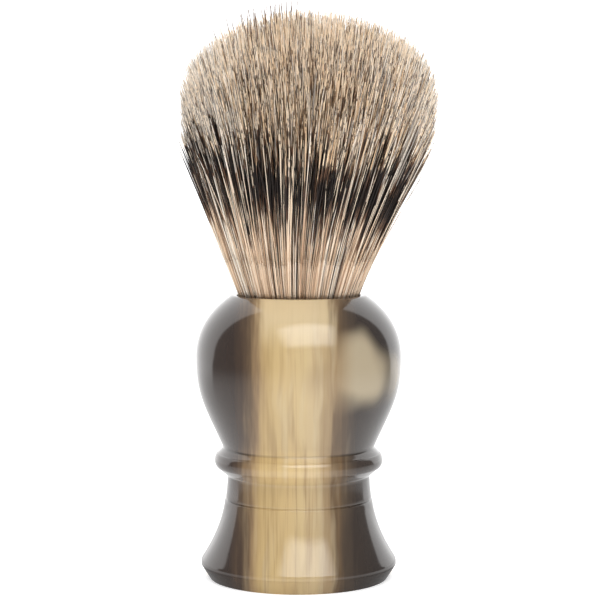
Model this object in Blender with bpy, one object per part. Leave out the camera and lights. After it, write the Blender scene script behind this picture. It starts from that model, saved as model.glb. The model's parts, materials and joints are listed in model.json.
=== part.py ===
"""Shaving brush: a badger hair knot glued into the socket of a one-piece turned handle in imitation horn.

Metres, +Z up. The origin is the centre of the foot's resting face and +Z is the brush's axis.
The knot's own shapes are written from the centre of the handle's mouth, where the hair starts to bend.
"""

import math

import bmesh
import bpy

MM = 0.001

# Driving dimensions of the handle
HANDLE_HEIGHT = 52.2 * MM
MOUTH_HEIGHT = 52.0 * MM
REST_RADIUS = 16.4 * MM
FOOT_RADIUS = 18.0 * MM
LINE_HEIGHT = 14.45 * MM
NECK_RADIUS = 13.1 * MM
BEAD_RADIUS = 15.5 * MM
BULB_RADIUS = 18.9 * MM
RIM_RADIUS = 12.35 * MM

# Driving dimensions of the knot
KNOT_RADIUS = 11.0 * MM
SPREAD = 0.4
HAIR_RADIUS = 23.5 * MM
LOFT = 51.5 * MM
DOME_HEIGHT = 15.5 * MM
BEND_RADIUS = 19.3 * MM

# Fits
FIT_GAP = 0.3 * MM
GLUE_WALL = 0.8 * MM
GLUE_FLOOR = 0.7 * MM
SOCKET_DEPTH = 18.0 * MM
GLUE_RELIEF_RADIUS = 4.0 * MM
GLUE_RELIEF_DEPTH = 4.0 * MM
PLUG_TOP = -9.0 * MM
THREAD_RADIUS = 0.3 * MM
THREAD_TURNS = 4
THREAD_PITCH = 0.75 * MM

# How the loft is divided
CORE_SHARE = 0.33
INNER_SHARE = 0.68
INNER_TUFTS = 6
OUTER_TUFTS = 12

# Facets
HANDLE_SIDES = 48
KNOT_SIDES = 36
MERGE_DISTANCE = 0.001 * MM
SHARP_ANGLE = math.radians(35)

# Sizes that follow
SOCKET_RADIUS = KNOT_RADIUS + FIT_GAP + 0.1 * MM
GLUE_RADIUS = SOCKET_RADIUS - FIT_GAP
PLUG_RADIUS = GLUE_RADIUS - GLUE_WALL - FIT_GAP
PLUG_BOTTOM = -SOCKET_DEPTH + FIT_GAP + GLUE_FLOOR + FIT_GAP
WAIST_RADIUS = PLUG_RADIUS - 2 * THREAD_RADIUS - FIT_GAP - 0.1 * MM
DOME_CENTRE = LOFT - DOME_HEIGHT
HALF_GAP = FIT_GAP / 2


def arc(centre, half_width, half_height, start, end, steps):
    """Points on an ellipse about centre in the (radius, height) plane; angles from +Z towards +radius."""
    angles = [start + (end - start) * i / steps for i in range(steps + 1)]
    return [
        (centre[0] + half_width * math.sin(a), centre[1] + half_height * math.cos(a))
        for a in angles
    ]


def bezier(controls, steps):
    """Points on the Bezier curve of any number of control points."""
    degree = len(controls) - 1
    points = []
    for i in range(steps + 1):
        t = i / steps
        weights = [math.comb(degree, k) * t**k * (1 - t) ** (degree - k) for k in range(degree + 1)]
        points.append(tuple(sum(w * c[axis] for w, c in zip(weights, controls)) for axis in (0, 1)))
    return points


def joined(*stretches):
    """One outline from stretches laid end to end, without repeated points."""
    outline = []
    for stretch in stretches:
        for point in stretch:
            if not outline or math.dist(point, outline[-1]) > MERGE_DISTANCE:
                outline.append(point)
    return outline


def material(name, colour, roughness, coat=0.0, translucency=0.0):
    """A Principled material with one colour."""
    made = bpy.data.materials.get(name) or bpy.data.materials.new(name)
    made.use_nodes = True
    made.diffuse_color = (*colour, 1.0)
    shader = made.node_tree.nodes["Principled BSDF"]
    shader.inputs["Base Color"].default_value = (*colour, 1.0)
    shader.inputs["Roughness"].default_value = roughness
    shader.inputs["Metallic"].default_value = 0.0
    shader.inputs["Coat Weight"].default_value = coat
    shader.inputs["Subsurface Weight"].default_value = translucency
    return made


def horn():
    return material("imitation_horn", (0.42, 0.32, 0.18), 0.12, coat=0.6)


def glue():
    return material("clear_epoxy", (0.72, 0.66, 0.46), 0.25)


def cast_resin():
    return material("cast_resin", (0.30, 0.22, 0.12), 0.35)


def thread():
    return material("waxed_thread", (0.78, 0.74, 0.64), 0.7)


def root_hair():
    return material("root_hair", (0.55, 0.42, 0.28), 0.6, translucency=0.1)


def banded_hair():
    return material("banded_hair", (0.10, 0.07, 0.05), 0.5)


def tip_hair():
    return material("tip_hair", (0.72, 0.62, 0.48), 0.6, translucency=0.1)


def finished(name, bm, finish, parent):
    """The object of a closed bmesh, with its material, smooth shading and parent."""
    bmesh.ops.recalc_face_normals(bm, faces=bm.faces)
    mesh = bpy.data.meshes.new(name)
    bm.to_mesh(mesh)
    bm.free()
    mesh.shade_smooth()
    mesh.set_sharp_from_angle(angle=SHARP_ANGLE)
    mesh.materials.append(finish)
    made = bpy.data.objects.new(name, mesh)
    bpy.context.collection.objects.link(made)
    made.parent = parent
    return made


def turned(name, outline, finish, sides, parent=None):
    """A solid of revolution: outline starts and ends on the axis and is spun once about +Z."""
    bm = bmesh.new()
    corners = [bm.verts.new((r, 0.0, z)) for r, z in outline]
    edges = [bm.edges.new(pair) for pair in zip(corners, corners[1:])]
    bmesh.ops.spin(
        bm, geom=corners + edges, cent=(0, 0, 0), axis=(0, 0, 1),
        angle=math.tau, steps=sides, use_merge=True,
    )
    bmesh.ops.remove_doubles(bm, verts=bm.verts, dist=MERGE_DISTANCE)
    return finished(name, bm, finish, parent)


# Handle


def foot_outline():
    """Resting face, chamfer, rounded edge and the concave flare, from the bottom up."""
    edge_round = 1.4 * MM
    edge_centre = (FOOT_RADIUS - edge_round, 2.95 * MM)
    resting_face = [(0.0, 0.0), (REST_RADIUS, 0.0)]
    edge = arc(edge_centre, edge_round, edge_round, math.radians(117), math.radians(58), 6)
    control = (NECK_RADIUS + 1.2 * MM, 9.1 * MM)
    flare = bezier([edge[-1], control, (NECK_RADIUS + 0.5 * MM, LINE_HEIGHT)], 7)
    return joined(resting_face, edge, flare)


def neck_outline():
    """The incised line above the foot and the slightly tapered neck, from the bottom up."""
    return [
        (NECK_RADIUS + 0.22 * MM, LINE_HEIGHT + 0.15 * MM),
        (NECK_RADIUS + 0.35 * MM, LINE_HEIGHT + 0.4 * MM),
        (NECK_RADIUS + 0.12 * MM, 16.95 * MM),
        (NECK_RADIUS, 18.95 * MM),
    ]


def bead_outline():
    """The round crest of the bead; its sides run straight to the neck and to the groove under the bulb."""
    half_width = 0.95 * MM
    half_height = 1.5 * MM
    centre = (BEAD_RADIUS - half_width, 21.85 * MM)
    return arc(centre, half_width, half_height, math.radians(158), math.radians(14), 8)


def bulb_outline():
    """The bulb, from the groove above the bead to the mouth's rim."""
    widest = (BULB_RADIUS, 40.6 * MM)
    groove = (13.9 * MM, 24.2 * MM)
    side = bezier([groove, (16.85 * MM, 30.9 * MM), (BULB_RADIUS, 33.5 * MM), widest], 9)
    shoulder = bezier(
        [widest, (BULB_RADIUS, 45.65 * MM), (16.5 * MM, 49.3 * MM), (RIM_RADIUS, HANDLE_HEIGHT)],
        10,
    )
    return joined(side, shoulder)


def socket_outline():
    """The rim and the stepped socket with its glue relief, from the rim down to the axis."""
    floor = MOUTH_HEIGHT - SOCKET_DEPTH
    relief = floor - GLUE_RELIEF_DEPTH
    edge_break = 0.15 * MM
    return [
        (SOCKET_RADIUS + edge_break, HANDLE_HEIGHT),
        (SOCKET_RADIUS, HANDLE_HEIGHT - edge_break),
        (SOCKET_RADIUS, floor),
        (GLUE_RELIEF_RADIUS, floor),
        (GLUE_RELIEF_RADIUS, relief),
        (0.0, relief),
    ]


def handle():
    outline = joined(foot_outline(), neck_outline(), bead_outline(), bulb_outline(), socket_outline())
    return turned("handle", outline[::-1], horn(), HANDLE_SIDES)


# Inside the socket


def socket_adhesive(mouth):
    """The cup of epoxy between the knot and the socket, with a peg that fills most of the glue relief."""
    bottom = -SOCKET_DEPTH + FIT_GAP
    top = -5.0 * MM
    peg_radius = GLUE_RELIEF_RADIUS - FIT_GAP
    peg_bottom = bottom - 2.8 * MM
    outline = [
        (0.0, bottom + GLUE_FLOOR),
        (GLUE_RADIUS - GLUE_WALL, bottom + GLUE_FLOOR),
        (GLUE_RADIUS - GLUE_WALL, top),
        (GLUE_RADIUS, top),
        (GLUE_RADIUS, bottom),
        (peg_radius, bottom),
        (peg_radius, peg_bottom),
        (0.0, peg_bottom),
    ]
    return turned("socket_adhesive", outline, glue(), KNOT_SIDES, mouth)


def knot_plug(mouth):
    """The cast plug that holds the hair roots, with the glue bump that wicks up into the knot."""
    bump = arc((0.0, PLUG_TOP), 6.0 * MM, 2.5 * MM, 0.0, math.pi / 2, 5)
    chamfer = 0.8 * MM
    sides = [
        (PLUG_RADIUS, PLUG_TOP),
        (PLUG_RADIUS, PLUG_BOTTOM + chamfer),
        (PLUG_RADIUS - chamfer, PLUG_BOTTOM),
        (0.0, PLUG_BOTTOM),
    ]
    return turned("knot_plug", joined(bump, sides), cast_resin(), KNOT_SIDES, mouth)


def hair_roots(mouth):
    """The gathered root ends, waisted where the thread binds them and hollow over the glue bump."""
    bottom = PLUG_TOP + FIT_GAP
    outside = [
        (0.0, 0.0),
        (KNOT_RADIUS, 0.0),
        (PLUG_RADIUS + 0.7 * MM, -3.0 * MM),
        (PLUG_RADIUS, -4.0 * MM),
        (WAIST_RADIUS, -4.4 * MM),
        (WAIST_RADIUS, bottom),
    ]
    hollow = arc((0.0, bottom), 6.3 * MM, 2.6 * MM, math.pi / 2, 0.0, 5)
    return turned("hair_roots", joined(outside, hollow), root_hair(), KNOT_SIDES, mouth)


def binding_thread(mouth):
    """One length of waxed thread wound round the roots, swept as a round section along a helix."""
    steps_per_turn = 30
    section_sides = 7
    coil_radius = WAIST_RADIUS + FIT_GAP + THREAD_RADIUS
    start_height = PLUG_TOP + 0.9 * MM
    climb = THREAD_PITCH / math.tau
    bm = bmesh.new()
    rings = []
    for i in range(THREAD_TURNS * steps_per_turn + 1):
        turn = math.tau * i / steps_per_turn
        ring = []
        for k in range(section_sides):
            around = math.tau * k / section_sides
            r = coil_radius + THREAD_RADIUS * math.cos(around)
            z = start_height + climb * turn + THREAD_RADIUS * math.sin(around)
            ring.append(bm.verts.new((r * math.cos(turn), r * math.sin(turn), z)))
        rings.append(ring)
    for low, high in zip(rings, rings[1:]):
        for k in range(section_sides):
            after = (k + 1) % section_sides
            bm.faces.new((low[k], low[after], high[after], high[k]))
    bm.faces.new(rings[0])
    bm.faces.new(rings[-1])
    return finished("binding_thread", bm, thread(), mouth)


# The loft. A share is a hair's place in the knot: 0 on the axis, 1 on the outside of the fan.


def crossing(share, shift, half_width, half_height, centre):
    """Where a share's straight hair line, moved out by shift, meets an ellipse centred on the axis.

    The line is radius = share * (KNOT_RADIUS + SPREAD * height) + shift. Returns the ellipse's angle from +Z.
    """
    slope = share * SPREAD * half_height
    reach = math.hypot(half_width, slope)
    offset = share * (KNOT_RADIUS + SPREAD * centre) + shift
    return math.atan2(slope, half_width) + math.asin(min(1.0, offset / reach))


def underside(first, last, radius, steps):
    """The loft's hollow underside, a sphere about the mouth, between two (share, shift) hair lines."""
    start = crossing(*first, radius, radius, 0.0)
    end = crossing(*last, radius, radius, 0.0)
    return arc((0.0, 0.0), radius, radius, start, end, steps)


def dome(first, last, steps):
    """The domed tips between two (share, shift) hair lines; a last of None runs to the widest point."""
    start = crossing(*first, HAIR_RADIUS, DOME_HEIGHT, DOME_CENTRE)
    end = math.pi / 2
    if last is not None:
        end = crossing(*last, HAIR_RADIUS, DOME_HEIGHT, DOME_CENTRE)
    return arc((0.0, DOME_CENTRE), HAIR_RADIUS, DOME_HEIGHT, start, end, steps)


def fan_side():
    """The outside of the fan from the dome's widest point down to where it is straight."""
    straight_top = 27.0 * MM
    corner = (HAIR_RADIUS - KNOT_RADIUS) / SPREAD
    return bezier(
        [
            (HAIR_RADIUS, DOME_CENTRE),
            (HAIR_RADIUS, corner),
            (KNOT_RADIUS + SPREAD * straight_top, straight_top),
        ],
        4,
    )


def flex_zone(pivot):
    """The hair between the mouth and the loft, which bends as the loft leans."""
    ball = underside((0.0, 0.0), (1.0, 0.0), BEND_RADIUS - FIT_GAP, 7)
    base = [(KNOT_RADIUS + SPREAD * FIT_GAP, FIT_GAP), (0.0, FIT_GAP)]
    return turned("hair_flex_zone", joined(ball, base), root_hair(), KNOT_SIDES, pivot)


def core(pivot):
    """The middle of the loft."""
    side = (CORE_SHARE, -HALF_GAP)
    top = dome((0.0, 0.0), side, 3)
    bottom = underside((0.0, 0.0), side, BEND_RADIUS, 2)
    return turned("hair_core", joined(top, bottom[::-1]), tip_hair(), KNOT_SIDES, pivot)


def tuft(name, outline, start, end, steps, finish, pivot):
    """A wedge of hair: a closed outline turned from start to end, its flat sides half a gap in."""
    bm = bmesh.new()
    columns = []
    for i in range(steps + 1):
        column = []
        for r, z in outline:
            inset = math.asin(HALF_GAP / r)
            turn = start + inset + (end - start - 2 * inset) * i / steps
            column.append(bm.verts.new((r * math.cos(turn), r * math.sin(turn), z)))
        columns.append(column)
    count = len(outline)
    for left, right in zip(columns, columns[1:]):
        for k in range(count):
            after = (k + 1) % count
            bm.faces.new((left[k], left[after], right[after], right[k]))
    bm.faces.new(columns[0])
    bm.faces.new(columns[-1])
    return finished(name, bm, finish, pivot)


def ring_of_tufts(prefix, outline, count, steps, finish, pivot):
    """Tufts side by side round the axis, named prefix_01 onwards."""
    width = math.tau / count
    for i in range(count):
        start = width * (i - 0.5)
        tuft(f"{prefix}_{i + 1:02d}", outline, start, start + width, steps, finish, pivot)


def inner_tufts(pivot):
    inside = (CORE_SHARE, HALF_GAP)
    outside = (INNER_SHARE, -HALF_GAP)
    top = dome(inside, outside, 3)
    bottom = underside(inside, outside, BEND_RADIUS, 2)
    ring_of_tufts("hair_inner", joined(top, bottom[::-1]), INNER_TUFTS, 6, tip_hair(), pivot)


def outer_tufts(pivot):
    inside = (INNER_SHARE, HALF_GAP)
    top = dome(inside, None, 4)
    bottom = underside(inside, (1.0, 0.0), BEND_RADIUS, 2)
    outline = joined(top, fan_side(), bottom[::-1])
    ring_of_tufts("hair_outer", outline, OUTER_TUFTS, 3, banded_hair(), pivot)


def pivot_empty(name, parent, height):
    """An empty on the knot's bending centre; its children turn with it."""
    empty = bpy.data.objects.new(name, None)
    bpy.context.collection.objects.link(empty)
    empty.parent = parent
    empty.location = (0.0, 0.0, height)
    return empty


def build():
    for old in list(bpy.data.objects):
        bpy.data.objects.remove(old)
    handle()
    mouth = pivot_empty("mouth", None, MOUTH_HEIGHT)
    socket_adhesive(mouth)
    knot_plug(mouth)
    binding_thread(mouth)
    hair_roots(mouth)
    lean_x = pivot_empty("knot_lean_x", mouth, 0.0)
    flex_zone(lean_x)
    lean_y = pivot_empty("knot_lean_y", lean_x, 0.0)
    core(lean_y)
    inner_tufts(lean_y)
    outer_tufts(lean_y)


build()
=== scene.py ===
"""Looks for the shaving brush: a polished imitation horn handle and a banded badger knot, in soft light.

Everything is in metres in the frame's own axes: +Z up along the brush, and -Y towards the camera.
"""

import json
import math

import bpy
import numpy as np
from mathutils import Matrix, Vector


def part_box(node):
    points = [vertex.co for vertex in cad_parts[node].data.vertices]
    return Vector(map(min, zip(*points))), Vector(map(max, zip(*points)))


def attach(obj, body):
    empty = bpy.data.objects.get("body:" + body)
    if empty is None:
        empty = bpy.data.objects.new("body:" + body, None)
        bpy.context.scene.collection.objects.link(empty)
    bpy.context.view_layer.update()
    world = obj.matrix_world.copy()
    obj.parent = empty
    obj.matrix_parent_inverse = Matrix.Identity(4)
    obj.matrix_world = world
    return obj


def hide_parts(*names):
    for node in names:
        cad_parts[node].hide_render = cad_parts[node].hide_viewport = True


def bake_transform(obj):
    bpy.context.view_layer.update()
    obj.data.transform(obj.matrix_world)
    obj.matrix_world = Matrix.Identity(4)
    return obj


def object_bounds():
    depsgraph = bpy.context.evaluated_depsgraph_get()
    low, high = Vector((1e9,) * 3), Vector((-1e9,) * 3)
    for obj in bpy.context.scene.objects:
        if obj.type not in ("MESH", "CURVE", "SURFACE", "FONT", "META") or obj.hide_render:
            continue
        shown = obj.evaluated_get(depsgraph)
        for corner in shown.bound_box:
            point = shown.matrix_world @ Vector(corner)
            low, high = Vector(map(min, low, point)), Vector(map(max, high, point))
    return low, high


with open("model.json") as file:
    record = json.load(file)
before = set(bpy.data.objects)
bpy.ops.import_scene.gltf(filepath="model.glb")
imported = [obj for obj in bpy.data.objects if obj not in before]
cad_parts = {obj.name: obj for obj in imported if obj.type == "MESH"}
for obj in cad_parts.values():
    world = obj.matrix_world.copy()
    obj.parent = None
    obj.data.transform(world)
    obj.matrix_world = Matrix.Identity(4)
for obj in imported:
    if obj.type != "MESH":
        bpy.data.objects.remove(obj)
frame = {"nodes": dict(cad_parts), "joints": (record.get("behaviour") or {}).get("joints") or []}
CAD_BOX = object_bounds()
NODES = frame["nodes"]
MM = 0.001

# Places read from the frame
MOUTH = frame["joints"][0]["pos_m"][2]
BRUSH_TOP = CAD_BOX[1].z
LOFT = BRUSH_TOP - MOUTH
KNOT_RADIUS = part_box("hair_roots")[1].x
HAIR_RADIUS = CAD_BOX[1].x
INNER_TUFTS = sum(name.startswith("hair_inner") for name in NODES)
OUTER_TUFTS = sum(name.startswith("hair_outer") for name in NODES)

# Handle
HANDLE_SIDES = 176
OUTLINE_STEPS = 4
CORNER_ANGLE = math.radians(18)
CORNER_ROUND = 0.09 * MM
CORNER_MOST = 0.4
SHARP_ANGLE = math.radians(40)
SAME_PLACE = 0.01 * MM

# The fan: heights are above the mouth, shares are of the knot's radius, and DOME_HEIGHT is of the loft.
SEED = 22
STRANDS = 12500
CORE_SHARE = 0.33
INNER_SHARE = 0.68
ROOT_SECTORS = 6
SPREAD = 0.4
DOME_HEIGHT = 0.301
DOME_POWER = 2.15
TIPS_OVER = 0.7 * MM
CUT_HEIGHTS = (6.0 * MM, 7.5 * MM)
ROOT_START = -1.0 * MM
LEAN = 1.9 * MM
LEAN_TOP = 0.75 * LOFT

# One hair
TUBE_SIDES = 3
LOWER_RINGS = 4
UPPER_RINGS = 9
THIN_MM, THICK_MM = 0.07, 0.19
ROOT_WIDTH = 0.62
TIP_WIDTH = 0.28

# How the hairs differ: chances and shares of all hairs, and distances in millimetres
CROWDING = 0.48
HAIRS_PER_CLUMP = 11
CLUMP_PULL = 0.55
TIP_JITTER = 0.075
LOOSE_CHANCE, LOOSE_JITTER = 0.10, 2.2
STRAY_CHANCE, STRAY_FROM, STRAY_WIDTH = 0.035, 0.9, 0.5
STRAY_BOW_MM = (0.4, 1.6)
SUNKEN_CHANCE, SUNKEN_MM = 0.45, 9.0
WAVE_MM = 0.42
WAVE_CYCLES = (0.6, 2.0)
BAND_JITTER_MM = 1.2
# A chance of a paler hair anywhere, and the painted light on the fan's left and right sides, as chances added
# there
PALE_CHANCE, LIT_SIDE_LEFT, LIT_SIDE_RIGHT = 0.12, 0.8, 0.5

# The few dark tips that stand proud at the top left, as shares of the knot's radius
PROUD_X = (-0.46, -0.12)
PROUD_Y = 0.4
PROUD_MM = 1.6

# The hair's map: its columns hold the variants of a hair, the paler ones in its second half, which serve both
# for paler hairs and for the painted light on the fan's sides.
VARIANTS = 48
PALE_OR_LIT_FROM = VARIANTS // 2
DARK_TIPPED = 1
PLAIN_VARIANT = 10
COLUMN_MARGIN = 0.1
BAND_ROOM = 9.0 * MM
TIP_SPAN = 3.5 * MM
MAP_SPAN = 72.0 * MM

# How far up the hair its colours are shifted, in millimetres: everywhere, then further at the left and right
BAND_SHIFT = -1.5
LOWER_EDGE_SHIFT = (1.8, -4.0)
UPPER_EDGE_SHIFT = (11.0, -1.4)
ABOVE_SHIFT = (-3.0, -2.0)

# Camera and studio
CAMERA_DISTANCE = 0.383
CAMERA_HEIGHT = 0.0817
CAMERA_LENS = 125.7
AIM_HEIGHT = 0.0512
AIM_SIDE = 0.25 * MM
AIM_SHARE = 0.45
FLOOR_Z = -0.02 * MM
FLOOR_RADIUS = 4.0
FLOOR_NEAR, FLOOR_FAR = 1.15, 0.30
WALL_SKEW = 0.11
WALL_EDGE = (0.395, 0.455)
WALL_WHITE = 1.6
ROOM_WHITE, ROOM_MIRROR_LOSS = 0.6, 0.3
LEFT_LIFT = 1.1


# Node graphs


class Graph:
    """Short calls that build one material's node tree."""

    def __init__(self, name):
        self.material = bpy.data.materials.new(name)
        self.material.use_nodes = True
        self.tree = self.material.node_tree
        self.shader = self.tree.nodes["Principled BSDF"]

    def put(self, socket, value):
        if isinstance(value, bpy.types.NodeSocket):
            self.tree.links.new(value, socket)
        else:
            socket.default_value = value

    def node(self, kind, inputs=(), **settings):
        made = self.tree.nodes.new(kind)
        for name, value in settings.items():
            setattr(made, name, value)
        for key, value in dict(inputs).items():
            self.put(made.inputs[key], value)
        return made

    def set(self, **inputs):
        """Sets the Principled inputs; underscores in a name stand for spaces."""
        for name, value in inputs.items():
            self.put(self.shader.inputs[name.replace("_", " ")], value)

    def math(self, operation, a, b=0.0, clamp=False):
        made = self.node("ShaderNodeMath", {0: a, 1: b}, operation=operation, use_clamp=clamp)
        return made.outputs[0]

    def add(self, a, b):
        return self.math("ADD", a, b)

    def times(self, a, b):
        return self.math("MULTIPLY", a, b)

    def apart(self, a, b):
        """How far apart two values are."""
        return self.math("ABSOLUTE", self.math("SUBTRACT", a, b))

    def step(self, value, low, high):
        """A smooth 0 up to low and 1 from high on; or 1 up to high and 0 from low on, if high is smaller."""
        flip = isinstance(low, (int, float)) and isinstance(high, (int, float)) and high < low
        start, finish = (high, low) if flip else (low, high)
        inputs = {"Value": value, "From Min": start, "From Max": finish}
        made = self.node("ShaderNodeMapRange", inputs, interpolation_type="SMOOTHSTEP")
        out = made.outputs["Result"]
        return self.math("SUBTRACT", 1.0, out) if flip else out

    def vector(self, x, y, z):
        return self.node("ShaderNodeCombineXYZ", {"X": x, "Y": y, "Z": z}).outputs[0]

    def noise(self, vector, scale=1.0, detail=2.0, roughness=0.5):
        """Fractal noise from 0 to 1 about 0.5."""
        inputs = {"Vector": vector, "Scale": scale, "Detail": detail, "Roughness": roughness}
        return self.node("ShaderNodeTexNoise", inputs).outputs["Fac"]

    def stretched(self, point, across, along, offset=0.0, deep=None):
        """The point in millimetres, scaled across (X), deep (Y) and along (Z), for streaky noise."""
        x, y, z = point
        deep = across if deep is None else deep
        return self.vector(self.add(self.times(x, across), offset), self.times(y, deep), self.times(z, along))

    def ramp(self, factor, stops):
        """A colour ramp with (position, colour) stops."""
        made = self.node("ShaderNodeValToRGB", {"Fac": factor})
        ramp = made.color_ramp
        while len(ramp.elements) < len(stops):
            ramp.elements.new(0.5)
        for element, (position, colour) in zip(ramp.elements, stops):
            element.position = position
            element.color = (*colour, 1.0)
        return made.outputs["Color"]

    def mix(self, factor, a, b, blend="MIX"):
        made = self.node("ShaderNodeMix", data_type="RGBA", blend_type=blend)
        self.put(made.inputs[0], factor)
        for socket, value in ((made.inputs[6], a), (made.inputs[7], b)):
            self.put(socket, value if isinstance(value, bpy.types.NodeSocket) else (*value, 1.0))
        return made.outputs[2]

    def object_mm(self):
        """The object-space point in millimetres, as its three coordinates."""
        place = self.node("ShaderNodeTexCoord").outputs["Object"]
        split = self.node("ShaderNodeSeparateXYZ", {0: place})
        return [self.times(split.outputs[i], 1.0 / MM) for i in range(3)]

    def bump(self, height, strength, distance):
        made = self.node("ShaderNodeBump", {"Height": height, "Strength": strength, "Distance": distance})
        self.put(self.shader.inputs["Normal"], made.outputs[0])


# Materials

# The horn's tones by place across the handle, in millimetres from the left
LANE_END = 15.0
HORN_LANES = [
    (-15.0, (0.036, 0.024, 0.019)), (-10.9, (0.040, 0.026, 0.020)), (-9.6, (0.070, 0.043, 0.028)),
    (-8.5, (0.140, 0.090, 0.051)), (-7.6, (0.270, 0.175, 0.093)), (-6.8, (0.430, 0.295, 0.145)),
    (-5.8, (0.540, 0.380, 0.175)), (-4.6, (0.600, 0.435, 0.205)), (-2.0, (0.630, 0.460, 0.230)),
    (1.0, (0.640, 0.485, 0.260)), (2.6, (0.620, 0.470, 0.265)), (3.6, (0.570, 0.425, 0.235)),
    (4.6, (0.500, 0.365, 0.195)), (5.6, (0.360, 0.255, 0.140)), (6.6, (0.180, 0.118, 0.066)),
    (7.9, (0.120, 0.078, 0.046)), (9.4, (0.078, 0.054, 0.037)), (11.0, (0.044, 0.031, 0.024)),
    (15.0, (0.030, 0.021, 0.017)),
]
HORN_SHADE = (0.30, 0.185, 0.085)
HORN_PALE = (0.640, 0.520, 0.330)
HORN_TAN = (0.400, 0.285, 0.160)
HORN_CLOUD = (0.520, 0.430, 0.290)
HORN_RIM = (0.800, 0.640, 0.400)
GROOVE_SHADE = (0.030, 0.022, 0.016)
CLOUD_CENTRE, CLOUD_RADII = (9.9, 39.4), (8.0, 7.1)
SHEET_X = 6.0
GROOVE_Z = 24.2
BEAD_Z = 22.0

# Each quality of a hair is spread evenly over the variants, by its own step and start.
HAIR_SPREADS = {
    "root": (0.618034, 0.10),
    "band": (0.414214, 0.50),
    "tip": (0.732051, 0.20),
    "shaft": (0.162278, 0.45),
    "shaft_end": (0.541381, 0.25),
    "banded": (0.302776, 0.05),
    "band_low": (0.828427, 0.15),
    "band_high": (0.449490, 0.35),
}
HAIR_ROOTS = [
    (0.0, (1.0, 0.92, 0.81)), (0.25, (1.0, 0.83, 0.65)), (0.60, (0.92, 0.69, 0.49)),
    (0.86, (0.56, 0.37, 0.24)), (0.91, (0.11, 0.07, 0.05)), (1.0, (0.07, 0.05, 0.04)),
]
HAIR_TIPS = [
    (0.0, (1.0, 0.91, 0.79)), (0.40, (0.98, 0.82, 0.63)), (0.74, (0.84, 0.64, 0.45)),
    (0.86, (0.38, 0.255, 0.16)), (0.90, (0.10, 0.065, 0.045)), (1.0, (0.05, 0.038, 0.033)),
]
# Painted shade down the shafts of some hairs, as factors on their tip colour
HAIR_SHAFT_SHADE = [
    (0.0, (1.0, 1.0, 1.0)), (0.81, (0.98, 0.925, 0.85)), (0.87, (0.26, 0.19, 0.14)),
    (1.0, (0.12, 0.085, 0.065)),
]
HAIR_BAND = (0.010, 0.008, 0.008), (0.040, 0.027, 0.022)
HAIR_PLAIN = (1.0, 0.88, 0.74)
HAIR_BROWN = (0.150, 0.078, 0.045)
HAIR_FLECK = (0.085, 0.055, 0.040)
HAIR_WARM = (0.96, 0.90, 0.82)
# A pale tone for the map's paler half: both paler hairs and painted light on the fan's sides
HAIR_PALE_OR_LIT = (1.0, 0.94, 0.86)

# Heights up the hair in millimetres, the lowest and the spread above it: where the painted shade on the
# shafts ends, and the band's two edges
SHAFT_SHADE_END = (39.0, 6.0)
BAND_LOW = (9.3, 8.5)
BAND_HIGH = (23.6, 9.5)
BAND_BROWN = 2.2


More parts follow.
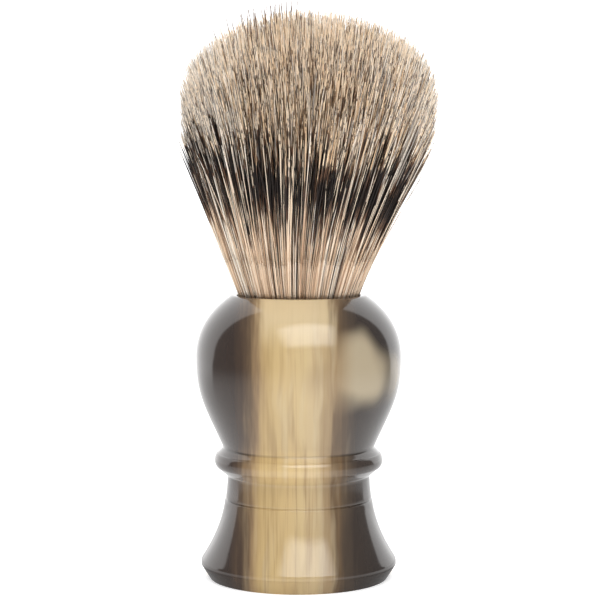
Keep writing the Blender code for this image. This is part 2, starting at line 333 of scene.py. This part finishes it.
def horn_material():
    """Blond and dark sheets that run straight up the block the handle was turned from."""
    g = Graph("imitation_horn")
    point = g.object_mm()
    x, y, z = point
    slow = g.noise(g.stretched(point, 0.16, 0.035, deep=0.05), detail=3.0)
    flame = g.noise(g.stretched(point, 0.8, 0.06, 7.0, deep=0.05), detail=3.0, roughness=0.6)
    wander = g.add(g.times(g.math("SUBTRACT", slow, 0.5), 3.6), g.times(g.math("SUBTRACT", flame, 0.5), 3.0))
    wander = g.add(wander, 0.3)
    # The sheets fold back on themselves behind the axis, so the back isn't a copy of the front.
    behind = g.step(y, -2.0, 6.0)
    folded = g.add(g.times(x, -0.8), 2.5)
    lane = g.add(g.add(g.times(x, g.math("SUBTRACT", 1.0, behind)), g.times(folded, behind)), wander)
    # Below the bulb the blond reaches further left.
    lane = g.add(lane, g.times(g.times(g.step(z, 28.0, 22.0), g.step(x, -2.0, -5.0)), 1.0))
    place = g.math("DIVIDE", g.add(lane, LANE_END), 2 * LANE_END, clamp=True)
    colour = g.ramp(place, [((mm + LANE_END) / (2 * LANE_END), tone) for mm, tone in HORN_LANES])
    # A beige cloud on the right of the bulb, tan where it meets the blond.
    cloudy = g.noise(g.stretched(point, 0.12, 0.10, 23.0), detail=1.0)
    cloud = soft_patch(g, point, cloudy, CLOUD_CENTRE, CLOUD_RADII)
    beige = g.mix(g.step(x, 6.5, 10.5), HORN_TAN, HORN_CLOUD)
    colour = g.mix(g.times(cloud, 0.88), colour, beige)
    # Below the bulb a brown sheet lies right of the middle.
    drift = g.add(x, g.times(g.noise(g.stretched(point, 0.12, 0.09, 3.0), detail=1.0), 2.4))
    off_sheet = g.apart(drift, SHEET_X)
    sheet = g.times(g.times(g.step(off_sheet, 1.4, 0.3), g.step(z, 37.0, 31.0)), g.step(y, 2.0, -3.0))
    colour = g.mix(g.times(sheet, 0.75), colour, HORN_TAN)
    # Soft streaks in the blond: brown ones that fade in and out, and pale ones.
    blond = g.times(g.step(lane, -9.5, -6.5), g.step(lane, 10.0, 5.5))
    streak = g.noise(g.stretched((drift, y, z), 0.6, 0.05, 31.0, deep=0.05), detail=2.0, roughness=0.55)
    colour = g.mix(g.times(g.times(g.step(streak, 0.46, 0.76), blond), 0.42), colour, HORN_SHADE)
    pale = g.noise(g.stretched((drift, y, z), 0.5, 0.05, 57.0, deep=0.05), detail=2.0)
    colour = g.mix(g.times(g.times(g.step(pale, 0.5, 0.72), blond), 0.5), colour, HORN_PALE)
    # Fine upright grain in the blond, strongest in the neck and foot.
    grain = g.noise(g.stretched(point, 1.9, 0.045, 71.0, deep=0.05), detail=3.0, roughness=0.6)
    depth = g.add(g.times(g.step(z, 30.0, 22.0), 0.22), 0.20)
    colour = g.mix(g.times(g.times(g.step(grain, 0.50, 0.68), blond), depth), colour, HORN_SHADE)
    # Paler blond by the rim, and painted shade in the V groove, weaker across the blond.
    rim = g.times(g.step(z, 43.0, 50.0), g.times(g.step(lane, -8.0, -5.0), g.step(lane, 7.0, 4.5)))
    colour = g.mix(g.times(rim, 0.7), colour, HORN_RIM)
    groove_shading = g.step(g.apart(z, GROOVE_Z), 0.30, 0.10)
    groove_shading = g.times(groove_shading, g.math("SUBTRACT", 0.8, g.times(blond, 0.6)))
    colour = g.mix(groove_shading, colour, GROOVE_SHADE)
    # Painted highlight: the bead and the surface next to it are painted a little paler than the rest.
    bead_highlight = g.step(g.apart(z, BEAD_Z), 4.0, 2.0)
    shade = g.mix(bead_highlight, (0.80, 0.80, 0.80), (0.93, 0.93, 0.93))
    colour = g.mix(1.0, colour, shade, blend="MULTIPLY")
    g.set(Base_Color=colour, IOR=1.5, Coat_Weight=0.25, Coat_Roughness=0.05)
    polish = g.noise(g.stretched(point, 0.5, 0.5, 3.0), detail=3.0)
    g.set(Roughness=g.add(g.times(polish, 0.08), 0.06))
    g.bump(g.noise(g.stretched(point, 3.0, 0.4, 11.0), detail=2.0), 0.02, 0.05 * MM)
    return g.material


def soft_patch(g, point, warp, centre, radii):
    """1 in the middle of an oval patch on the front, 0 outside, with a cloudy edge."""
    x, y, z = point
    across = g.math("DIVIDE", g.math("SUBTRACT", x, centre[0]), radii[0])
    along = g.math("DIVIDE", g.math("SUBTRACT", z, centre[1]), radii[1])
    reach = g.math("SQRT", g.add(g.times(across, across), g.times(along, along)))
    reach = g.add(reach, g.times(g.math("SUBTRACT", warp, 0.5), 1.2))
    return g.times(g.step(reach, 1.25, 0.45), g.step(y, 2.0, -3.0))


def hair_material():
    """Badger hair: tan roots, a dark band and pale tips. The map's U picks a variant and V runs up it.

    The map's first half holds warm hairs, and its second half paler ones: some paler hairs, and the painted
    light on the fan's sides.
    """
    g = Graph("badger_hair")
    uv = g.node("ShaderNodeUVMap", uv_map="OFBake").outputs[0]
    split = g.node("ShaderNodeSeparateXYZ", {0: uv})
    column = g.math("FLOOR", g.times(split.outputs[0], VARIANTS))

    def pick(quality, lowest=0.0, spread=1.0):
        """The variant's own value of a quality, from the lowest to the lowest plus the spread."""
        step, start = HAIR_SPREADS[quality]
        share = g.math("FRACT", g.add(g.times(column, step), start))
        return g.add(g.times(share, spread), lowest)

    height = g.times(split.outputs[1], MAP_SPAN / MM)
    height = g.math("SUBTRACT", height, BAND_ROOM / MM)
    root = g.ramp(pick("root"), HAIR_ROOTS)
    band = g.mix(pick("band"), *HAIR_BAND)
    tip = g.ramp(pick("tip"), HAIR_TIPS)
    # Some shafts are much duller than their tips.
    # Painted shade: some hairs are painted much darker down their shafts than at their tips, for the shade
    # deeper in the fan.
    shaft_end = pick("shaft_end", *SHAFT_SHADE_END)
    shaded_shaft = g.mix(1.0, tip, g.ramp(pick("shaft"), HAIR_SHAFT_SHADE), blend="MULTIPLY")
    tip = g.mix(g.step(height, shaft_end, g.add(shaft_end, 6.0)), shaded_shaft, tip)
    # A few hairs have no band and stay pale from root to tip, most of them in the paler half.
    pale = g.math("GREATER_THAN", column, PALE_OR_LIT_FROM - 0.5)
    plain = g.add(g.times(pale, 0.05), 0.09)
    banded = g.step(pick("banded"), plain, g.add(plain, 0.02))
    tip = g.mix(banded, HAIR_PLAIN, tip)
    tip = g.mix(g.math("LESS_THAN", column, DARK_TIPPED - 0.5), tip, HAIR_BROWN)
    # Dark flecks, shorter towards the tips and few on the very ends.
    fleck = g.vector(g.times(column, 7.31), g.times(g.times(height, height), 0.0025), 0.0)
    fleck = g.noise(fleck, detail=1.0)
    flecked = g.times(g.step(fleck, 0.55, 0.60), g.step(height, 52.5, 49.0))
    tip = g.mix(g.times(flecked, 0.94), tip, HAIR_FLECK)
    # Paler hairs and painted light: the paler half is mixed towards a pale tone, and the rest is warmed.
    tip = g.mix(pale, g.mix(1.0, tip, HAIR_WARM, blend="MULTIPLY"), g.mix(0.35, tip, HAIR_PALE_OR_LIT))
    colour = g.mix(g.step(height, 12.0, 30.0), root, tip)
    # The band, brown at both of its edges.
    low = pick("band_low", *BAND_LOW)
    high = pick("band_high", *BAND_HIGH)
    for margin, tone in ((0.0, HAIR_BROWN), (BAND_BROWN, band)):
        start, finish = g.add(low, margin), g.add(high, -margin)
        rise = g.step(height, start, g.add(start, 1.8))
        fall = g.step(height, finish, g.add(finish, 1.5))
        inside = g.times(g.times(rise, g.math("SUBTRACT", 1.0, fall)), banded)
        colour = g.mix(inside, colour, tone)
    g.set(Base_Color=colour, Roughness=0.42, IOR=1.5, Specular_IOR_Level=0.35)
    return g.material


def epoxy_material():
    g = Graph("clear_epoxy")
    cloud = g.noise(g.stretched(g.object_mm(), 0.5, 0.5), detail=3.0)
    g.set(Base_Color=g.mix(cloud, (0.70, 0.60, 0.36), (0.80, 0.74, 0.56)), Coat_Weight=0.4)
    g.set(Roughness=g.add(g.times(cloud, 0.2), 0.12))
    return g.material


def cast_resin_material():
    g = Graph("cast_resin")
    speckle = g.noise(g.stretched(g.object_mm(), 4.0, 0.6), detail=2.0)
    g.set(Base_Color=g.mix(g.step(speckle, 0.4, 0.6), (0.22, 0.14, 0.08), (0.45, 0.34, 0.20)))
    g.set(Roughness=g.add(g.times(speckle, 0.25), 0.25))
    return g.material


def thread_material():
    """Waxed thread: its twist shows as fine slanting lines."""
    g = Graph("waxed_thread")
    x, y, z = g.object_mm()
    turn = g.math("ARCTAN2", y, x)
    twist = g.math("SINE", g.add(g.times(turn, 160.0), g.times(z, 9.0)))
    lines = g.add(g.times(twist, 0.5), 0.5)
    g.set(Base_Color=g.mix(lines, (0.52, 0.47, 0.36), (0.78, 0.73, 0.60)), Roughness=0.62)
    g.bump(lines, 0.5, 0.05 * MM)
    return g.material


def root_bundle_material():
    """The gathered roots: fine upright streaks."""
    g = Graph("root_bundle")
    streak = g.noise(g.stretched(g.object_mm(), 6.0, 0.3), detail=2.0)
    g.set(Base_Color=g.mix(g.step(streak, 0.35, 0.65), (0.30, 0.19, 0.11), (0.66, 0.50, 0.34)))
    g.set(Roughness=0.55)
    g.bump(streak, 0.4, 0.1 * MM)
    return g.material


# Handle


def outline_of(node):
    """The handle's outline from the resting face up, and its socket from the rim down, as (r, z) rows."""
    points = {
        (round(v.co.x, 7), round(v.co.z, 7))
        for v in node.data.vertices
        if abs(v.co.y) < SAME_PLACE and v.co.x > 0
    }
    top = max(z for _, z in points)
    rim = sorted(r for r, z in points if top - z < SAME_PLACE)
    inside_rim = (rim[0] + rim[-1]) / 2
    outer = sorted((p for p in points if p[0] > inside_rim), key=lambda p: p[1])
    socket = sorted((p for p in points if p[0] < inside_rim), key=lambda p: (-p[1], -p[0]))
    return np.array(outer), np.array(socket)


def turning(points, i):
    """The angle an outline turns through at point i."""
    before, after = points[i] - points[i - 1], points[i + 1] - points[i]
    cosine = before @ after / (np.linalg.norm(before) * np.linalg.norm(after))
    return math.acos(max(-1.0, min(1.0, cosine)))


def flowing(points, steps):
    """A Catmull-Rom curve through the points of one stretch."""
    ends = [2 * points[0] - points[1], *points, 2 * points[-1] - points[-2]]
    curve = []
    for p0, p1, p2, p3 in zip(ends, ends[1:], ends[2:], ends[3:]):
        for k in range(steps):
            t = k / steps
            curve.append(
                0.5 * (2 * p1 + (p2 - p0) * t + (2 * p0 - 5 * p1 + 4 * p2 - p3) * t**2
                       + (3 * p1 - p0 - 3 * p2 + p3) * t**3)
            )
    curve.append(points[-1])
    return curve


def fine_outline(points):
    """The outline with its round stretches made smooth and its corners cut by CORNER_ROUND."""
    corners = [i for i in range(1, len(points) - 1) if turning(points, i) > CORNER_ANGLE]
    bounds = [0, *corners, len(points) - 1]
    outline = []
    for first, last in zip(bounds, bounds[1:]):
        stretch = flowing(points[first:last + 1], OUTLINE_STEPS)
        if first:
            away = stretch[1] - stretch[0]
            outline.append(stretch[0] + away * min(CORNER_MOST, CORNER_ROUND / np.linalg.norm(away)))
        else:
            outline.append(stretch[0])
        outline += stretch[1:-1]
        if last < len(points) - 1:
            away = stretch[-2] - stretch[-1]
            outline.append(stretch[-1] + away * min(CORNER_MOST, CORNER_ROUND / np.linalg.norm(away)))
    outline.append(points[-1])
    return outline


def turned_mesh(name, outline, sides):
    """A closed mesh of revolution from an outline whose ends are on the axis, with an OFBake map."""
    rings = outline[1:-1]
    turns = [math.tau * k / sides for k in range(sides)]
    verts = [(r * math.cos(a), r * math.sin(a), z) for r, z in rings for a in turns]
    first_pole, last_pole = len(verts), len(verts) + 1
    verts += [(0.0, 0.0, outline[0][1]), (0.0, 0.0, outline[-1][1])]
    lengths = np.cumsum([0.0] + [math.dist(a, b) for a, b in zip(outline, outline[1:])])
    lengths /= lengths[-1]
    faces, maps = [], []
    for k in range(sides):
        after = (k + 1) % sides
        u0, u1 = k / sides, (k + 1) / sides
        faces.append((first_pole, k, after))
        maps += [((u0 + u1) / 2, lengths[0]), (u0, lengths[1]), (u1, lengths[1])]
        for i in range(len(rings) - 1):
            low, high = i * sides, (i + 1) * sides
            faces.append((low + k, high + k, high + after, low + after))
            v0, v1 = lengths[i + 1], lengths[i + 2]
            maps += [(u0, v0), (u0, v1), (u1, v1), (u1, v0)]
        end = (len(rings) - 1) * sides
        faces.append((end + k, last_pole, end + after))
        maps += [(u0, lengths[-2]), ((u0 + u1) / 2, lengths[-1]), (u1, lengths[-2])]
    mesh = bpy.data.meshes.new(name)
    mesh.from_pydata(verts, [], faces)
    layer = mesh.uv_layers.new(name="OFBake")
    layer.data.foreach_set("uv", np.array(maps, np.float32).ravel())
    mesh.validate()
    mesh.shade_smooth()
    return mesh


def build_handle():
    outer, socket = outline_of(NODES["handle"])
    inner = [tuple(p) for p in socket]
    if inner[-1][0] > SAME_PLACE:
        inner.append((0.0, inner[-1][1]))
    outside = [tuple(p) for p in fine_outline(outer)]
    outline = [(0.0, 0.0), *outside, *inner]
    mesh = turned_mesh("handle_horn", outline[::-1], HANDLE_SIDES)
    mesh.set_sharp_from_angle(angle=SHARP_ANGLE)
    mesh.materials.append(horn_material())
    piece = link(bpy.data.objects.new("handle_horn", mesh))
    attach(piece, "handle")
    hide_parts("handle")


def link(obj):
    bpy.context.scene.collection.objects.link(obj)
    return obj


# Hair


def ease(value, low, high):
    t = np.clip((value - low) / (high - low), 0.0, 1.0)
    return t * t * (3 - 2 * t)


def dome_radius(height):
    """The fan's widest reach at a height above the mouth: its side below, its dome above."""
    over = np.clip((height - LOFT * (1 - DOME_HEIGHT)) / (LOFT * DOME_HEIGHT), 0.0, 1.0)
    return HAIR_RADIUS * np.sqrt(1 - over**DOME_POWER)


def scattered(rng, count):
    """Places over the knot's end, as shares of its radius, packed a little closer towards the outside."""
    share = rng.uniform(0.0, 1.0, count) ** CROWDING
    turn = rng.uniform(-math.pi, math.pi, count)
    return share * np.cos(turn), share * np.sin(turn)


def draw_strands():
    """Every hair's own numbers, from one seeded generator."""
    rng = np.random.default_rng(SEED)

    def chance():
        return rng.uniform(0.0, 1.0, STRANDS)

    x, y = scattered(rng, STRANDS)
    clump_x, clump_y = scattered(rng, STRANDS // HAIRS_PER_CLUMP)
    nearest = [np.argmin((clump_x - a) ** 2 + (clump_y - b) ** 2) for a, b in zip(x, y)]
    pull = rng.uniform(0.0, CLUMP_PULL, STRANDS)
    loose = np.where(chance() < LOOSE_CHANCE, LOOSE_JITTER, 1.0)
    share = np.hypot(x, y)
    stray = (chance() < STRAY_CHANCE) & (share > STRAY_FROM)
    variant = rng.integers(0, VARIANTS, STRANDS) % PALE_OR_LIT_FROM
    proud = (variant < DARK_TIPPED) & (x > PROUD_X[0]) & (x < PROUD_X[1]) & (np.abs(y) < PROUD_Y)
    variant = np.where((variant < DARK_TIPPED) & ~proud, PLAIN_VARIANT, variant)
    sunken = np.where(chance() < SUNKEN_CHANCE, rng.uniform(0.0, SUNKEN_MM, STRANDS), 0.0)
    shorter = np.abs(rng.normal(0.0, 1.0, STRANDS)) + sunken
    drawn = {
        "x": x,
        "y": y,
        "tip_x": (clump_x[nearest] - x) * pull + rng.normal(0.0, TIP_JITTER, STRANDS) * loose,
        "tip_y": (clump_y[nearest] - y) * pull + rng.normal(0.0, TIP_JITTER, STRANDS) * loose,
        "share": share,
        "turn": np.arctan2(y, x),
        "shorter": np.where(proud, -PROUD_MM, shorter) * MM,
        "bow": np.where(stray, rng.uniform(*STRAY_BOW_MM, STRANDS), 0.0) * MM,
        "wave": rng.normal(0.0, WAVE_MM, STRANDS) * MM,
        "cycles": rng.uniform(*WAVE_CYCLES, STRANDS),
        "phase": rng.uniform(0.0, math.tau, STRANDS),
        "wave_turn": rng.uniform(0.0, math.tau, STRANDS),
        "radius": THIN_MM + (THICK_MM - THIN_MM) * chance() ** 2,
        "band": rng.normal(0.0, BAND_JITTER_MM, STRANDS) * MM,
        "cut": rng.uniform(*CUT_HEIGHTS, STRANDS),
    }
    drawn["radius"] = np.where(proud, THICK_MM, drawn["radius"] * np.where(stray, STRAY_WIDTH, 1.0)) * MM
    # Painted light: the fan's sides take paler hairs more often than its front, its left side most of all,
    # for the light falling on the sides.
    paler = PALE_CHANCE + np.where(x < 0, LIT_SIDE_LEFT, LIT_SIDE_RIGHT) * ease(np.abs(x), 0.2, 0.85)
    drawn["variant"] = variant + np.where(chance() < paler, PALE_OR_LIT_FROM, 0)
    return drawn


def strand_line(hairs, heights):
    """Each hair's X and Y at its own heights above the mouth; heights is (hairs, rings)."""
    own = {key: values[:, None] for key, values in hairs.items()}
    rise = np.clip(heights / LOFT, 0.0, 1.1)
    drift = rise**1.4
    reach = KNOT_RADIUS + SPREAD * heights + own["bow"] * np.sin(math.pi * np.minimum(rise / 0.8, 1.0))
    swing = own["wave"] * rise * np.sin(math.tau * own["cycles"] * rise + own["phase"])
    x = (own["x"] + own["tip_x"] * drift) * reach + swing * np.cos(own["wave_turn"])
    y = (own["y"] + own["tip_y"] * drift) * reach + swing * np.sin(own["wave_turn"])
    return x, y


def tip_heights(hairs):
    """The height at which each hair comes out through the dome, less what it falls short by."""
    low, high = np.full(STRANDS, 0.5 * LOFT), np.full(STRANDS, LOFT)
    for _ in range(20):
        middle = (low + high) / 2
        x, y = strand_line(hairs, middle[:, None])
        inside = np.hypot(x, y)[:, 0] < dome_radius(middle)
        low, high = np.where(inside, middle, low), np.where(inside, high, middle)
    return low + TIPS_OVER - hairs["shorter"]


def strand_points(hairs, heights):
    """Each hair's centre line, with the whole loft's slight lean to the right."""
    x, y = strand_line(hairs, heights)
    return np.stack([x + LEAN * ease(heights, 0.0, LEAN_TOP), y, heights + MOUTH], axis=-1)


def strand_mesh(name, points, radii, turn, variant, along, material):
    """Closed three-sided tubes along the points, with an OFBake map in which each hair spans its column."""
    count, rings, _ = points.shape
    tangent = np.gradient(points, axis=1)
    tangent /= np.linalg.norm(tangent, axis=2, keepdims=True)
    outward = np.stack([np.cos(turn), np.sin(turn), np.zeros(count)], axis=-1)[:, None, :]
    u = outward - (outward * tangent).sum(2, keepdims=True) * tangent
    u /= np.linalg.norm(u, axis=2, keepdims=True)
    v = np.cross(tangent, u)
    corner = np.arange(TUBE_SIDES)
    turns = corner * math.tau / TUBE_SIDES
    ring = u[:, :, None] * np.cos(turns)[:, None] + v[:, :, None] * np.sin(turns)[:, None]
    verts = points[:, :, None] + ring * radii[:, :, None, None]
    base = (np.arange(count) * rings * TUBE_SIDES)[:, None, None]
    rows = base + (np.arange(rings - 1) * TUBE_SIDES)[None, :, None]
    low, after = rows + corner, rows + (corner + 1) % TUBE_SIDES
    quads = np.stack([low, after, after + TUBE_SIDES, low + TUBE_SIDES], axis=-1).reshape(count, -1)
    start = base[:, 0] + corner[::-1]
    end = base[:, 0] + (rings - 1) * TUBE_SIDES + corner
    loops = np.concatenate([quads, start, end], axis=1)
    sizes = np.tile([4] * (TUBE_SIDES * (rings - 1)) + [TUBE_SIDES] * 2, count)
    mesh = bpy.data.meshes.new(name)
    mesh.vertices.add(count * rings * TUBE_SIDES)
    mesh.vertices.foreach_set("co", verts.astype(np.float32).ravel())
    mesh.loops.add(loops.size)
    mesh.loops.foreach_set("vertex_index", loops.astype(np.int32).ravel())
    mesh.polygons.add(len(sizes))
    starts = np.concatenate([[0], np.cumsum(sizes)[:-1]])
    mesh.polygons.foreach_set("loop_start", starts.astype(np.int32))
    mesh.update(calc_edges=True)
    side = corner + np.zeros((count, rings - 1, 1))
    across = np.stack([side, side + 1, side + 1, side], axis=-1)
    lengthwise = np.stack([along[:, :-1], along[:, :-1], along[:, 1:], along[:, 1:]], axis=-1)
    lengthwise = np.repeat(lengthwise[:, :, None, :], TUBE_SIDES, axis=2)
    caps = np.tile([0.5, 1.0, 1.5] * 2, (count, 1))
    cap_along = np.repeat(along[:, [0, -1]], TUBE_SIDES, axis=1)
    across = np.concatenate([across.reshape(count, -1), caps], axis=1)
    lengthwise = np.concatenate([lengthwise.reshape(count, -1), cap_along], axis=1)
    column = (variant[:, None] + COLUMN_MARGIN + (1 - 2 * COLUMN_MARGIN) * across / TUBE_SIDES) / VARIANTS
    layer = mesh.uv_layers.new(name="OFBake")
    layer.data.foreach_set("uv", np.stack([column, lengthwise], axis=-1).astype(np.float32).ravel())
    mesh.materials.append(material)
    flat = np.tile([False] * (TUBE_SIDES * (rings - 1)) + [True] * 2, count)
    mesh.attributes.new("sharp_face", "BOOLEAN", "FACE").data.foreach_set("value", flat)
    return mesh


def hair_width(hairs, heights, tips):
    """Each hair's radius along its length: fine at the root, fullest in the band, drawn out at the tip."""
    rise = np.clip(heights / tips[:, None], 0.0, 1.0)
    swell = ROOT_WIDTH + (1 - ROOT_WIDTH) * ease(rise, 0.0, 0.45)
    taper = 1 - (1 - TIP_WIDTH) * ease(rise, 0.84, 1.0)
    return hairs["radius"][:, None] * swell * taper


def along_map(hairs, heights):
    """The map's V: height above the mouth, with the last of each hair stretched so that all tips end alike.

    A shift up the fan's left and right sides moves the band's two edges there.
    """
    side = np.cos(hairs["turn"])[:, None]
    lower, upper, above = (
        np.where(side < 0, *shifts) for shifts in (LOWER_EDGE_SHIFT, UPPER_EDGE_SHIFT, ABOVE_SHIFT)
    )
    uneven = lower + (upper - lower) * ease(heights, 16.0 * MM, 27.0 * MM)
    uneven = uneven + (above - uneven) * ease(heights, 32.0 * MM, 40.0 * MM)
    shift = hairs["band"][:, None] + BAND_SHIFT * MM + uneven * side**2 * MM
    tips = hairs["tip"][:, None]
    last = np.clip((heights - tips + TIP_SPAN) / TIP_SPAN, 0.0, 1.0)
    shared = heights - shift * (1 - last) + (LOFT - tips) * last
    return (shared + BAND_ROOM) / MAP_SPAN


def tuft_of(hairs):
    """The CAD tuft that each hair belongs to."""
    names = []
    for share, turn in zip(hairs["share"], hairs["turn"]):
        if share < CORE_SHARE:
            names.append("hair_core")
            continue
        inner = share < INNER_SHARE
        kind, count = ("hair_inner", INNER_TUFTS) if inner else ("hair_outer", OUTER_TUFTS)
        names.append(f"{kind}_{round(turn * count / math.tau) % count + 1:02d}")
    return np.array(names)


def chosen(hairs, which):
    return {key: values[which] for key, values in hairs.items()}


def hair_piece(name, hairs, start, finish, rings, material):
    """The lengths of some hairs from their start to their finish heights, as one mesh."""
    run = np.linspace(0.0, 1.0, rings)[None, :]
    heights = start[:, None] + (finish - start)[:, None] * run
    points = strand_points(hairs, heights)
    radii = hair_width(hairs, heights, hairs["tip"])
    along = along_map(hairs, heights)
    mesh = strand_mesh(name, points, radii, hairs["turn"], hairs["variant"], along, material)
    return link(bpy.data.objects.new(name, mesh))


def build_hair():
    """All the hairs, each one in two lengths: a lower one from the handle's mouth to its cut, and an upper
    one from there on into the loft.
    """
    material = hair_material()
    hairs = draw_strands()
    hairs["tip"] = tip_heights(hairs)
    tufts = tuft_of(hairs)
    for tuft in sorted(set(tufts)):
        own = chosen(hairs, tufts == tuft)
        piece = hair_piece(tuft.replace("hair_", "tuft_"), own, own["cut"], own["tip"], UPPER_RINGS, material)
        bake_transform(piece)
        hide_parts(tuft)
    sector = np.floor((hairs["turn"] + math.pi) / math.tau * ROOT_SECTORS).astype(int) % ROOT_SECTORS
    for i in range(ROOT_SECTORS):
        own = chosen(hairs, sector == i)
        roots = np.full(len(own["cut"]), ROOT_START)
        piece = hair_piece(f"loft_base_{i + 1}", own, roots, own["cut"], LOWER_RINGS, material)
        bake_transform(piece)
        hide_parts("hair_flex_zone")


# Inside pieces keep their CAD shape


def dress_inside():
    finishes = {
        "socket_adhesive": epoxy_material(),
        "knot_plug": cast_resin_material(),
        "binding_thread": thread_material(),
        "hair_roots": root_bundle_material(),
    }
    for name, finish in finishes.items():
        node = NODES[name]
        node.data.materials.clear()
        node.data.materials.append(finish)


# Studio


def floor():
    """A white floor. In the handle's reflections it dims away from the brush, except at the back."""
    g = Graph("pale_floor")
    x, y, z = g.object_mm()
    grain = g.noise(g.stretched((x, y, z), 0.05, 0.05), detail=2.0)
    rays = g.node("ShaderNodeLightPath")
    mirrored = rays.outputs["Is Glossy Ray"]
    level = g.math("MAXIMUM", g.math("SQRT", g.add(g.times(x, x), g.times(y, y))), 1.0)
    backward = g.math("DIVIDE", g.math("SUBTRACT", y, g.times(x, WALL_SKEW)), level)
    dimming = {"Value": level, "From Min": 45.0, "From Max": 330.0, "To Min": FLOOR_NEAR, "To Max": FLOOR_FAR}
    dimmed = g.node("ShaderNodeMapRange", dimming, interpolation_type="SMOOTHSTEP").outputs["Result"]
    open_white = g.mix(g.step(level, 60.0, 330.0), (FLOOR_NEAR,) * 3, (WALL_WHITE,) * 3)
    bright = g.mix(g.step(backward, *WALL_EDGE), dimmed, open_white)
    # Painted shadow: in reflections the floor is darker close around the brush's foot.
    bright = g.mix(g.step(level, 18.0, 27.0), (0.30, 0.30, 0.30), bright)
    plain = g.mix(rays.outputs["Is Camera Ray"], (0.22, 0.22, 0.22), (0.45, 0.45, 0.45))
    glow = g.mix(mirrored, plain, bright)
    g.set(Base_Color=g.mix(mirrored, g.mix(grain, (0.93, 0.93, 0.93), (0.95, 0.95, 0.95)), (0.0, 0.0, 0.0)))
    g.set(Roughness=0.6, Specular_IOR_Level=0.0, Emission_Color=glow, Emission_Strength=1.0)
    place = (0, 0, FLOOR_Z)
    bpy.ops.mesh.primitive_circle_add(vertices=64, radius=FLOOR_RADIUS, fill_type="NGON", location=place)
    plane = bpy.context.object
    plane.name = "studio_floor"
    plane.data.materials.append(g.material)


def softbox(name, azimuth, elevation, distance, size, radiance, aim):
    """A soft panel of light, brightest in the middle; azimuth is from the camera's side to its right."""
    g = Graph(name)
    x, y, z = g.object_mm()
    half_x, half_y = size[0] / MM / 2, size[1] / MM / 2
    glow = g.step(g.math("ABSOLUTE", x), half_x, 0.45 * half_x)
    glow = g.times(glow, g.step(g.math("ABSOLUTE", y), half_y, 0.45 * half_y))
    facing = g.math("SUBTRACT", 1.0, g.node("ShaderNodeNewGeometry").outputs["Backfacing"])
    g.set(Base_Color=(0.0, 0.0, 0.0, 1.0), Specular_IOR_Level=0.0, Emission_Color=(1.0, 1.0, 1.0, 1.0))
    g.set(Emission_Strength=g.times(g.times(glow, facing), radiance))
    bpy.ops.mesh.primitive_plane_add(size=1.0)
    panel = bpy.context.object
    panel.name = name
    for corner in panel.data.vertices:
        corner.co = (corner.co.x * size[0], corner.co.y * size[1], 0.0)
    a, e = math.radians(azimuth), math.radians(elevation)
    away = Vector((math.sin(a) * math.cos(e), -math.cos(a) * math.cos(e), math.sin(e)))
    panel.location = aim + away * distance
    panel.rotation_euler = away.to_track_quat("-Z", "Y").to_euler()
    panel.data.materials.append(g.material)


def studio_world():
    """White walls behind and beside the brush, and a dim room on the camera's side that only lights it."""
    world = bpy.data.worlds.new("studio")
    world.use_nodes = True
    bpy.context.scene.world = world
    tree = world.node_tree
    background = tree.nodes["Background"]
    place = tree.nodes.new("ShaderNodeTexCoord").outputs["Generated"]
    split = tree.nodes.new("ShaderNodeSeparateXYZ")
    tree.links.new(place, split.inputs[0])

    def calculate(operation, a, b=0.0):
        made = tree.nodes.new("ShaderNodeMath")
        made.operation = operation
        for socket, value in zip(made.inputs, (a, b)):
            if isinstance(value, bpy.types.NodeSocket):
                tree.links.new(value, socket)
            else:
                socket.default_value = value
        return made.outputs[0]

    x, y = split.outputs[0], split.outputs[1]
    level = calculate("SQRT", calculate("ADD", calculate("MULTIPLY", x, x), calculate("MULTIPLY", y, y)))
    level = calculate("MAXIMUM", level, 1e-4)
    # The wall on the left comes further forward than the one on the right.
    backward = calculate("DIVIDE", calculate("SUBTRACT", y, calculate("MULTIPLY", x, WALL_SKEW)), level)
    rays = tree.nodes.new("ShaderNodeLightPath")
    mirrored = rays.outputs["Is Glossy Ray"]
    spread = tree.nodes.new("ShaderNodeMapRange")
    spread.interpolation_type = "SMOOTHSTEP"
    tree.links.new(backward, spread.inputs["Value"])
    room = calculate("SUBTRACT", ROOM_WHITE, calculate("MULTIPLY", mirrored, ROOM_MIRROR_LOSS))
    tree.links.new(room, spread.inputs["To Min"])
    spread.inputs["From Min"].default_value, spread.inputs["From Max"].default_value = WALL_EDGE
    spread.inputs["To Max"].default_value = WALL_WHITE
    # Unmirrored light is a little stronger from the upper left.
    left = calculate("MAXIMUM", calculate("MULTIPLY", x, -1.0))
    lift = calculate("MULTIPLY", left, calculate("MAXIMUM", split.outputs[2]))
    unmirrored = calculate("SUBTRACT", LEFT_LIFT, calculate("MULTIPLY", mirrored, LEFT_LIFT))
    lift = calculate("MULTIPLY", lift, unmirrored)
    seen = calculate("MULTIPLY", rays.outputs["Is Camera Ray"], WALL_WHITE)
    shining = calculate("MAXIMUM", calculate("ADD", spread.outputs["Result"], lift), seen)
    tree.links.new(shining, background.inputs["Strength"])
    background.inputs["Color"].default_value = (1.0, 1.0, 1.0, 1.0)


def camera():
    data = bpy.data.cameras.new("camera")
    data.lens = CAMERA_LENS
    data.sensor_width = 36.0
    data.clip_start = 0.01
    made = link(bpy.data.objects.new("camera", data))
    made.location = (0.0, -CAMERA_DISTANCE, CAMERA_HEIGHT)
    aim = Vector((AIM_SIDE, 0.0, AIM_HEIGHT))
    made.rotation_euler = (aim - made.location).to_track_quat("-Z", "Y").to_euler()
    bpy.context.scene.camera = made


def studio():
    floor()
    studio_world()
    softbox(
        "front_top_softbox", azimuth=13.0, elevation=46.0, distance=0.75, size=(1.0, 0.70), radiance=3.8,
        aim=Vector((0.0, 0.0, BRUSH_TOP * AIM_SHARE)),
    )
    camera()
    bpy.context.scene.view_settings.view_transform = "Standard"


build_handle()
build_hair()
dress_inside()
studio()
